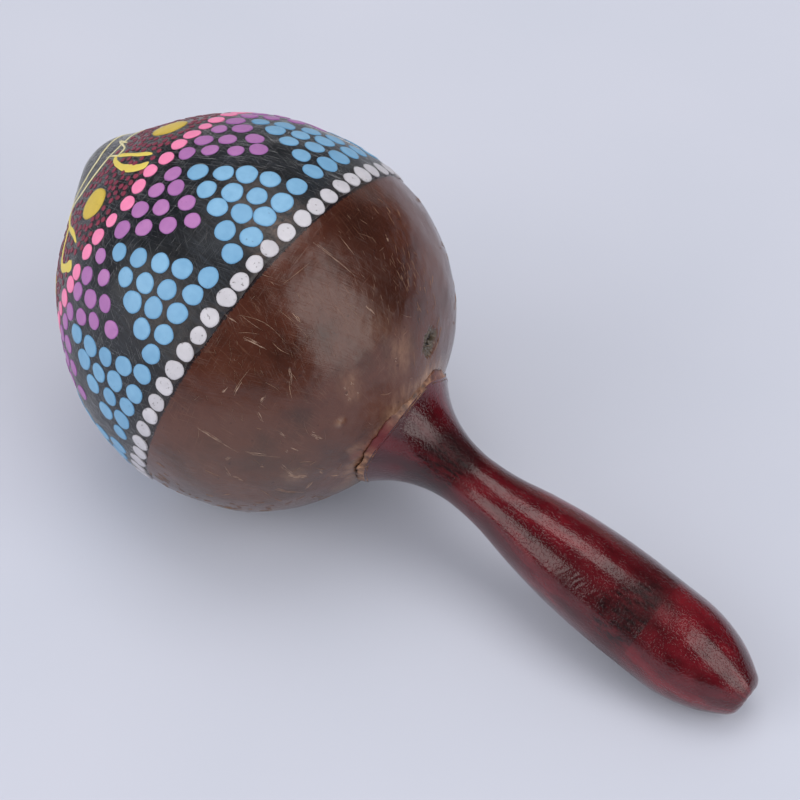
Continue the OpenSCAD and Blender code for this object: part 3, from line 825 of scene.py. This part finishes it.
stipple = {
    "from": 21.5, "to": 44.0, "tries": 26000, "seed": 61, "width": 1.6, "high": 0.14,
    "gap": 1.75, "strokeGap": 1.35, "spotGap": 1.0, "pinkGap": 0.9,
}
rng = np.random.default_rng(stipple["seed"])
tryS = rng.uniform(stipple["from"], stipple["to"], stipple["tries"])
tryLon = rng.uniform(-180, 180, stipple["tries"])
flatTry = aroundAxis(np.interp(tryS, tableS, tableR), 0.0, tryLon)[:, :2]
strokePoints = np.concatenate([path[:, :2] for path, _ in strokes])
clear = np.array([np.min(np.hypot(*(strokePoints - p).T)) for p in flatTry]) > stipple["strokeGap"]
solidTry = aroundAxis(*nutLine(tryS)[:2], tryLon)
for lon in spotLon:
    centre = aroundAxis(*nutLine(dabs["spotAt"])[:2], lon)
    clear &= np.linalg.norm(solidTry - centre, axis=1) > dabs["spotD"] / 2 + stipple["spotGap"]
clear &= tryS < pinkRow(tryLon) - dabs["pinkD"] / 2 - stipple["pinkGap"]
kept, tinyDabs = [], []
for p, s, lon in zip(solidTry[clear], tryS[clear], tryLon[clear]):
    if all((p[0] - q[0]) ** 2 + (p[1] - q[1]) ** 2 + (p[2] - q[2]) ** 2 > stipple["gap"] ** 2 for q in kept):
        kept.append(p)
        tinyDabs.append((s, lon, stipple["width"]))
dabPiece("redStipple", tinyDabs, "maroonPaint", "red_stipple", 46,
         segments=9, high=stipple["high"], wobble=0.06, jitter=0.0)
print("stipple built:", len(tinyDabs))

# turned handle

handle = {
    "neckR": 7.5, "neckZ": 68.0, "neckCurve": 61.0, "flareR": 29.0, "collarR": 16.75, "gripR": 13.0,
    "gripZ": 118.0, "taperZ": 131.0, "endR": 5.0, "endZ": 154.0, "round": 1.6, "tenonR": 7.0, "tenonZ": 36.4,
    "columns": 200, "flareRows": 40, "rows": 190, "seat": 0.1,
    "flats": 0.035, "grit": 0.006,  # height of the long flats and of the fine unevenness
    # scraper marks: their line (z, lon, slant), where they start and stop, (half width, pitch, height)
    "chatterAt": (104.0, 138.5, 0.1), "chatterEnds": (93.0, 97.0, 109.0, 113.0), "chatter": (1.7, 1.55, 0.06),
    "stepEnds": (112.0, 116.0, 123.8, 124.4), "step": (6.0, 0.12),  # its ends, (half width, depth)
    "burnEnd": (127.5, 126.0, 0.35), "burnCut": (122.0, 6.0),  # how the scorched patch stops at the step
    "rest": (137.0, 14.0, 50.0),  # where it lies on the table, without marks: z, spread along and around
    "endGrain": (0.1, 0.4, 1.0, 1.0, 0.8, 0.6),  # bare wood on the last rings and the middle of the end
    "burn": ((62, 82, 6, 0.9), (61, 115, 5.5, 0.9), (60.5, 150, 6, 0.9), (60, 178, 5, 0.7),
             (119.4, 136, 7, 1), (118.5, 153, 7, 0.9), (53, 165, 8, 0.6), (119.4, 106, 5, 0.9),
             (121.5, 62, 6, 0.8), (106, 141, 6, 0.5), (60, 10, 7, 0.6), (116, -30, 8, 0.7),
             (62, -110, 7, 0.6), (120, -140, 8, 0.7), (153, 90, 2, 0.3)),
    "matt": ((61.5, 98, 5.5, 0.9), (60.5, 122, 5, 0.8), (122, 103, 7, 0.8), (120, 136, 6, 0.5),
             (118, -30, 9, 0.8), (60, -60, 7, 0.8), (120, -140, 9, 0.8)),
    # painted light: brighter red patches along the top of the handle
    "paintedGlow": ((129.8, 98, 9, 0.75), (106, 118, 9, 0.5), (72, 110, 6, 0.5), (136, 130, 8, 0.5),
             (90, 70, 10, 0.4)),
    "colours": {"deep": "#36070c", "red": "#490b13", "bright": "#68151d", "burn": "#1f0b0d", "end": "#8c776b",
                "endDark": "#5f4138"},
}


def makeHandleLook():
    # red-stained turned wood under a glossy varnish: dark lengthwise grain, scorched patches, gritty pores
    look, tree, place = newLook("redStainedWood")
    tone = tones(handle["colours"])
    colour, _ = noiseTones(tree, grainPlace(tree, 4.0, 14.0), 1.0, [
        (0.35, tone["deep"]), (0.52, tone["red"]), (0.72, tone["bright"])], 5.0, 0.55)
    paintedGlow = noiseMask(tree, place, perMetre(6), 0.3, 0.7, 4.0)
    scorch = noiseMask(tree, grainPlace(tree, 1.0, 3.5), 1.0, 0.2, 0.6, 6.0, 0.7)
    pore = noiseMask(tree, grainPlace(tree, 0.35, 1.6), 1.0, 0.62, 0.74, 3.0)
    rings = noiseMask(tree, place, perMetre(1.2), 0.4, 0.62, 5.0, 0.65)
    bare = layered(tree, tone["end"], (tone["endDark"], rings))
    # the brighter red patches on the handle's top are painted light
    colour = layered(
        tree, colour, (tone["bright"], "paintedGlow", paintedGlow), (tone["burn"], "burn", scorch),
        (tone["burn"], pore, 0.3), (bare, "endGrain"))
    # varnish worn thin in patches a few mm wide, and gone where the wood is scorched
    worn = overlap(tree, noiseMask(tree, place, perMetre(4), 0.5, 0.7, 5.0, 0.65), 0.45)
    dull = addNode(tree, "Math", {0: "matt", 1: worn}, operation="MAXIMUM").outputs[0]
    rough = addNode(tree, "MapRange", {"Value": dull, 3: 0.14, 4: 0.4}).outputs[0]
    shine = addNode(tree, "MapRange", {"Value": dull, 3: 0.56, 4: 0.08}).outputs[0]
    level = addNode(tree, "MapRange", {"Value": "matt", 3: 0.36, 4: 0.16}).outputs[0]
    # pits in the varnish, 0.2 mm wide, gathered in patches, and grit where it is scorched
    pit = noiseMask(tree, place, perMetre(0.55), 0.5, 0.64, 1.0)
    patch = noiseMask(tree, place, perMetre(5), 0.3, 0.54)
    grit = noiseMask(tree, place, perMetre(0.8), 0.3, 0.7, 2.0)
    relief = stackedRelief(
        tree, (overlap(tree, pit, patch), -0.036, 1.0), (overlap(tree, grit, "matt"), 0.1, 1.0),
        (pore, -0.02, 1.0))
    return finishLook(look, {
        "Base Color": colour, "Roughness": rough, "Specular IOR Level": level, "Coat Weight": shine,
        "Coat Roughness": 0.07, "Normal": relief, "Coat Normal": relief})


neckR, neckZ, neckCurve = handle["neckR"], handle["neckZ"], handle["neckCurve"]
flareR, collarR, gripR, gripZ = handle["flareR"], handle["collarR"], handle["gripR"], handle["gripZ"]
taperZ, tenonR, tenonZ = handle["taperZ"], handle["tenonR"], handle["tenonZ"]
endR, endZ, edgeRound = handle["endR"], handle["endZ"], handle["round"]
swell = gripR - neckR
swellSum = (swell ** 2 + (gripZ - neckZ) ** 2) / (2 * swell)
gripCurve = swellSum - neckCurve
turnZ = neckZ + (gripZ - neckZ) * neckCurve / swellSum
endCurve = ((gripR - endR) ** 2 + (endZ - taperZ) ** 2) / (2 * (gripR - endR))


# how high an arc of a radius stands at a distance from its middle
def arc(radius, off):
    return np.sqrt(np.clip(radius ** 2 - off ** 2, 0, None))


def handleRadius(z):
    return np.select(
        [z < neckZ, z < turnZ, z < gripZ, z < taperZ],
        [neckR + flareR - arc(flareR, z - neckZ), neckR + neckCurve - arc(neckCurve, z - neckZ),
         gripR - gripCurve + arc(gripCurve, z - gripZ), gripR],
        gripR - endCurve + arc(endCurve, z - taperZ))


def flareHeight(radius):
    return neckZ - arc(flareR, neckR + flareR - radius)


# hand finish: long shallow flats, scraper chatter on one side, a step where the scorched patch ends
def handleRelief(z, lon):
    radius = handleRadius(z)
    surface = aroundAxis(radius, z, lon)
    total = handle["flats"] * ripple(aroundAxis(radius, z * 0.3, lon), 9.0, 71)
    total += handle["grit"] * ripple(surface, 3.2, 72)
    atZ, atLon, slant = handle["chatterAt"]
    off = radius * np.radians(turnFrom(atLon, lon)) + (z - atZ) * slant
    half, pitch, high = handle["chatter"]
    uneven = 0.6 + 0.5 * ripple(surface, 4.0, 76)
    wave = uneven * np.sin(2 * math.pi * (z + 0.5 * off) / pitch + uneven)
    total += high * wave * np.exp(-(off / half) ** 2) * between(*handle["chatterEnds"], z)
    half, deep = handle["step"]
    total -= deep * np.exp(-(off / half) ** 2) * between(*handle["stepEnds"], z)
    restZ, restAlong, restAround = handle["rest"]
    rest = np.exp(-((z - restZ) / restAlong) ** 2 - (turnFrom(-90, lon) / restAround) ** 2)
    return total * smooth(44, 50, z) * (1 - rest)


handleLon = allAround(handle["columns"])
collarEdge = collarR * (1 + 0.012 * ripple(aroundAxis(collarR, 0.0, handleLon), 13.0, 75))
collarFoot = buttHeight(collarEdge, handleLon, handle["seat"])
collarTop = np.maximum(flareHeight(collarEdge), collarFoot + 0.1)
even = np.ones(handleLon.shape)

# tenon and seat, then the turned body from the collar to the end
seatR = np.stack([0.95 * tenonR * even, tenonR * even, tenonR * even, (tenonR + collarEdge) / 2, collarEdge])
seatZ = np.stack([tenonZ * even, (tenonZ + 0.4) * even, *buttHeight(seatR[2:4], handleLon, handle["seat"]),
                  collarFoot])
flareShare = np.linspace(0, 1, handle["flareRows"], endpoint=False)[:, None]
upZ = np.linspace(neckZ, endZ - edgeRound, handle["rows"])[:, None]
bodyZ = np.concatenate([collarTop + (neckZ - collarTop) * flareShare, upZ * even])
bodyR = handleRadius(bodyZ) + handleRelief(bodyZ, np.broadcast_to(handleLon, bodyZ.shape))
bodyR[0] = collarEdge

# the worn edge of the flat end bends from the taper to the flat in one curve
bend = np.linspace(0, 1, 8)[1:, None]
taperR, flatR = handleRadius(np.array(endZ - edgeRound)), endR - edgeRound
bendR = taperR * (1 - bend) ** 2 + 2 * endR * bend * (1 - bend) + flatR * bend ** 2
bendZ = endZ - edgeRound * (1 - bend) ** 2
chips = 0.025 * ripple(aroundAxis(5.0, 0.0, handleLon), 5.0, 73)
capR = np.concatenate([bendR * (1 + chips * bend), [2.0 * even, 0.8 * even]])
capZ = np.concatenate([bendZ * even, [(endZ - 0.08) * even] * 2])
capWave = ripple(aroundAxis(capR, 0.0, handleLon), 1.8, 74) * np.append(bend, [1.0, 1.0])[:, None]
capZ += 0.05 * capWave - 0.05

ringR, ringZ = np.concatenate([seatR, bodyR, capR]), np.concatenate([seatZ, bodyZ, capZ])
ringLon = np.broadcast_to(handleLon, ringR.shape)
ringTurn = np.radians(ringLon)
marks = {key: patches(ringZ, ringLon, handleRadius(ringZ), handle[key]) for key in ("burn", "matt", "paintedGlow")}
noBurn, lastBurn, pastStep = handle["burnEnd"]
burnStop = np.where(ringZ < handle["stepEnds"][3], 1.0, pastStep * smooth(noBurn, lastBurn, ringZ))
cutZ, cutHalf = handle["burnCut"]
marks["burn"] = np.where(np.abs(ringZ - cutZ) < cutHalf, marks["burn"] * burnStop, marks["burn"])
marks["grain"] = np.stack([10 * np.cos(ringTurn), 10 * np.sin(ringTurn), ringZ], -1)
marks = {key: ringMarks(values, len(ringR)) for key, values in marks.items()}
endGrain = np.zeros(ringR.shape)
endGrain[-5:] = np.array(handle["endGrain"][:5])[:, None]
marks["endGrain"] = ringMarks(endGrain, len(ringR), last=handle["endGrain"][5])
handleRings = toTable(aroundAxis(ringR, ringZ, ringLon), handleTurn)[None]
newPiece("turnedHandle", skin(handleRings), makeHandleLook(), ["handle"],
         marks=marks, sharp=40)
print("handle built")

# dried glue around the collar

glue = {
    "wide": 1.0, "spread": (0.35, 2.2), "uneven": 0.4, "ragged": 0.25, "high": 0.13, "lump": 0.4,
    "columns": 300,
    # each point of the section: share of the spread outwards, share of the rise from shell to collar, lump
    "section": ((-0.45, 1.0, 0.2), (0.0, 0.9, 0.5), (0.3, 0.45, 0.9), (0.65, 0.12, 0.7), (1.0, 0.0, -0.2),
                (0.6, 0.0, -1.6), (-0.3, 0.0, -1.6)),
    "stains": ((137.0, 14.0, 0.9), (152.0, 10.0, 0.6), (60.0, 12.0, 0.5)),  # each (lon, half width, strength)
    "colours": {"brown": "#6a4836", "tan": "#a67c5c", "hollowShade": "#3c241c", "stain": "#5a1418"},
}


def makeGlueLook():
    # dried brown glue and filler: lumpy, part glossy, brown to orange-tan, with painted shade in the hollows
    # and painted highlight on the lumps' tops
    look, tree, place = newLook("driedGlue")
    tone = tones(glue["colours"])
    # the colour follows the noise that also lifts the lumps: painted shade in the hollows, painted highlight
    # on the tops
    colour, lumps = noiseTones(tree, place, perMetre(2.4), [
        (0.34, tone["hollowShade"]), (0.48, tone["brown"]), (0.68, tone["tan"])], 6.0, 0.7)
    colour = layered(tree, colour, (tone["stain"], "stain"))
    relief = stackedRelief(tree, (lumps, 0.3, 0.6))
    return finishLook(look, {"Base Color": colour, "Roughness": 0.42, "Normal": relief})


glueLon = allAround(glue["columns"])
edgeR = np.interp(glueLon, np.append(handleLon, 180), np.append(collarEdge, collarEdge[0]))
circle = aroundAxis(edgeR, 0.0, glueLon)
uneven = 1 + glue["uneven"] * ripple(circle, 11.0, 81) + glue["ragged"] * ripple(circle, 2.6, 82)
spread = np.clip(glue["wide"] * uneven, *glue["spread"])
lump = np.clip(1 + glue["lump"] * ripple(circle, 2.0, 84), 0.2, 2.0)
rings = []
for out, rise, bulge in glue["section"]:
    radius = edgeR + out * (spread if out > 0 else 1.0)
    foot, brow = buttHeight(radius, glueLon, handle["seat"]), flareHeight(np.minimum(radius, edgeR))
    height = foot + rise * np.clip(brow - foot, 0, None) + bulge * glue["high"] * lump
    rings.append(aroundAxis(radius, height, glueLon))
rings = np.stack(rings, 1)
ids = np.arange(rings.shape[0] * rings.shape[1]).reshape(rings.shape[:2])
nextRow, nextCol = np.roll(ids, -1, 0), np.roll(ids, -1, 1)
faces = np.stack([ids, nextCol, np.roll(nextCol, -1, 0), nextRow], -1).reshape(-1, 4).tolist()
stain = sum(high * np.exp(-(turnFrom(at, glueLon) / half) ** 2) for at, half, high in glue["stains"])
marks = {"stain": np.repeat(np.clip(stain, 0, 1), rings.shape[1])}
newPiece("glueBead", (toTable(rings.reshape(-1, 3), handleTurn), faces), makeGlueLook(),
         ["glue_fillet"], marks=marks, sharp=180)
print("glue built")

# loose seeds inside

seeds = {"rings": 14, "columns": 22, "uneven": 0.04, "dimple": 0.12, "colours": ("#2a201b", "#5a4636")}


def makeSeedLook():
    # hard dark seed with a faint waxy shine and paler scuffs
    look, tree, place = newLook("hardSeed")
    dark, pale = [hexColour(code) for code in seeds["colours"]]
    colour = layered(tree, dark, (pale, noiseMask(tree, place, perMetre(1.8), 0.4, 0.7, 4.0)))
    return finishLook(look, {"Base Color": colour, "Roughness": 0.4})


seedLook = makeSeedLook()
tilt = np.linspace(0.12, math.pi - 0.12, seeds["rings"])[:, None]
turn = np.linspace(0, 2 * math.pi, seeds["columns"], endpoint=False)[None, :]
ball = np.stack([np.sin(tilt) * np.cos(turn), np.sin(tilt) * np.sin(turn), np.cos(tilt) + 0 * turn], -1)
dimple = seeds["dimple"] * np.exp(-((tilt - 0.1) / 0.3) ** 2)
for name in sorted(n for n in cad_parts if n.startswith("seed_")):
    lowCorner, highCorner = np.array(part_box(name)) * 1000
    radius = (highCorner - lowCorner).min() / 2
    uneven = 1 - seeds["uneven"] * (1 + 0.5 * ripple(ball, 1.6, int(name[-2:]))) - dimple
    rings = ball * uneven[..., None] * radius + (lowCorner + highCorner) / 2
    newPiece("visual_" + name, skin(rings[None]), seedLook, [name], body=name, sharp=180)
print("seeds built")

# floor, light and camera

stage = {
    "floor": "#bdbfca", "floorShade": "#babdc8", "backdrop": "#cccfdb", "room": "#f2f4fa", "lamp": "#fffdfb",
    "world": (1.12, 0.5), "worldGloss": 0.02,  # room light in front and behind, and in reflections
    "size": 6.0, "fade": (0.6, 1.5), "aim": (-0.02, 0.0, 0.04), "far": 1.8,  # in metres
    # each panel: turn and rise of its middle, shift to its side, width and height as shares of far, radiance
    "panels": {"key": (0.0, 32.0, 0.0, 0.68, 1.2, 2.12), "top": (180.0, 84.3, -0.13, 0.56, 0.7, 2.2),
               "fill": (-122.0, 27.0, 0.0, 0.85, 0.72, 1.9), "back": (118.0, 14.0, 0.0, 1.1, 0.5, 0.34)},
}


def makeFloorLook():
    # plain pale studio paper with the faintest unevenness
    look, tree, place = newLook("studioPaper")
    spots = noiseMask(tree, place, perMetre(90), 0.3, 0.7, 2.0)
    colour = layered(tree, hexColour(stage["floor"]), (hexColour(stage["floorShade"]), spots))
    surface = {"Base Color": colour, "Roughness": 0.6, "Specular IOR Level": 0.2}
    paper = addNode(tree, "BsdfPrincipled", surface)
    # far from the object the paper fades into the backdrop
    near, far = stage["fade"]
    away = addNode(tree, "VectorMath", {0: place}, operation="LENGTH").outputs["Value"]
    fade = addNode(tree, "MapRange", {"Value": away, 1: near, 2: far}).outputs[0]
    fade = overlap(tree, fade, addNode(tree, "LightPath").outputs["Is Camera Ray"])
    seen = addNode(tree, "Emission", {"Color": hexColour(stage["backdrop"]), "Strength": 1.0})
    mixed = addNode(tree, "MixShader", {0: fade, 1: paper.outputs[0], 2: seen.outputs[0]})
    addNode(tree, "OutputMaterial", {"Surface": mixed.outputs[0]})
    return look


mesh = bpy.data.meshes.new("floor")
size = stage["size"]
mesh.from_pydata([(-size, -size, 0), (size, -size, 0), (size, size, 0), (-size, size, 0)], [], [(0, 1, 2, 3)])
mesh.materials.append(makeFloorLook())
floor = bpy.data.objects.new("floor", mesh)
bpy.context.collection.objects.link(floor)

world = bpy.data.worlds.new("studio")
world.use_nodes = True
world.node_tree.nodes.clear()
tree = world.node_tree
# the room is brighter in front of the object than behind it
ahead, behind = stage["world"]
front = addNode(tree, "SeparateXYZ", {0: addNode(tree, "TexCoord").outputs["Generated"]}).outputs["Y"]
level = addNode(tree, "MapRange", {"Value": front, 1: -1.0, 2: 1.0, 3: ahead, 4: behind}).outputs[0]
room, backdrop = hexColour(stage["room"]), hexColour(stage["backdrop"])
light = addNode(tree, "Background", {"Color": room, "Strength": level})
gloss = addNode(tree, "Background", {"Color": room, "Strength": stage["worldGloss"]})
seen = addNode(tree, "Background", {"Color": backdrop, "Strength": 1.0})
rays = addNode(tree, "LightPath").outputs
lit = addNode(tree, "MixShader", {0: rays["Is Glossy Ray"], 1: light.outputs[0], 2: gloss.outputs[0]})
pick = addNode(tree, "MixShader", {0: rays["Is Camera Ray"], 1: lit.outputs[0], 2: seen.outputs[0]})
addNode(tree, "OutputWorld", {"Surface": pick.outputs[0]})
bpy.context.scene.world = world


# puts a lamp or camera at a turn and rise around a target, facing it, and shifts it aside and upwards
def aimed(holder, target, turn, up, far, aside=0.0, above=0.0):
    turn, up = math.radians(turn), math.radians(up)
    back = Vector((math.cos(turn) * math.cos(up), math.sin(turn) * math.cos(up), math.sin(up)))
    side = Vector((-math.sin(turn), math.cos(turn), 0.0))
    upward = back.cross(side)
    middle = Vector(target) + back * far + side * aside + upward * above
    holder.matrix_world = Matrix.Translation(middle) @ Matrix((side, upward, back)).transposed().to_4x4()
    bpy.context.collection.objects.link(holder)


for name, (turn, up, aside, wide, high, radiance) in stage["panels"].items():
    lamp = bpy.data.lights.new(name + "Panel", "AREA")
    far = stage["far"]
    lamp.shape, lamp.size, lamp.size_y = "RECTANGLE", wide * far, high * far
    lamp.energy = radiance * math.pi * wide * far * high * far
    lamp.color = hexColour(stage["lamp"])[:3]
    holder = bpy.data.objects.new(name + "Panel", lamp)
    holder.visible_camera = False
    aimed(holder, stage["aim"], turn, up, far, aside * far)

# the photo's view: angles in degrees, lengths in metres, the sensor in mm
view = {
    "fov": 24.0, "turn": -53.29, "up": 46.22, "far": 0.479, "aside": -0.0015, "above": 0.00897,
    "target": (0.0007633, 0.0, 0.035), "sensor": 36.0, "clip": (0.01, 20.0),
}
lens = bpy.data.cameras.new("camera")
lens.sensor_width = view["sensor"]
lens.lens = view["sensor"] / 2 / math.tan(math.radians(view["fov"] / 2))
lens.clip_start, lens.clip_end = view["clip"]
camera = bpy.data.objects.new("camera", lens)
aimed(camera, *(view[key] for key in ("target", "turn", "up", "far", "aside", "above")))
bpy.context.scene.camera = camera
bpy.context.scene.view_settings.view_transform = "Standard"
print("stage built")
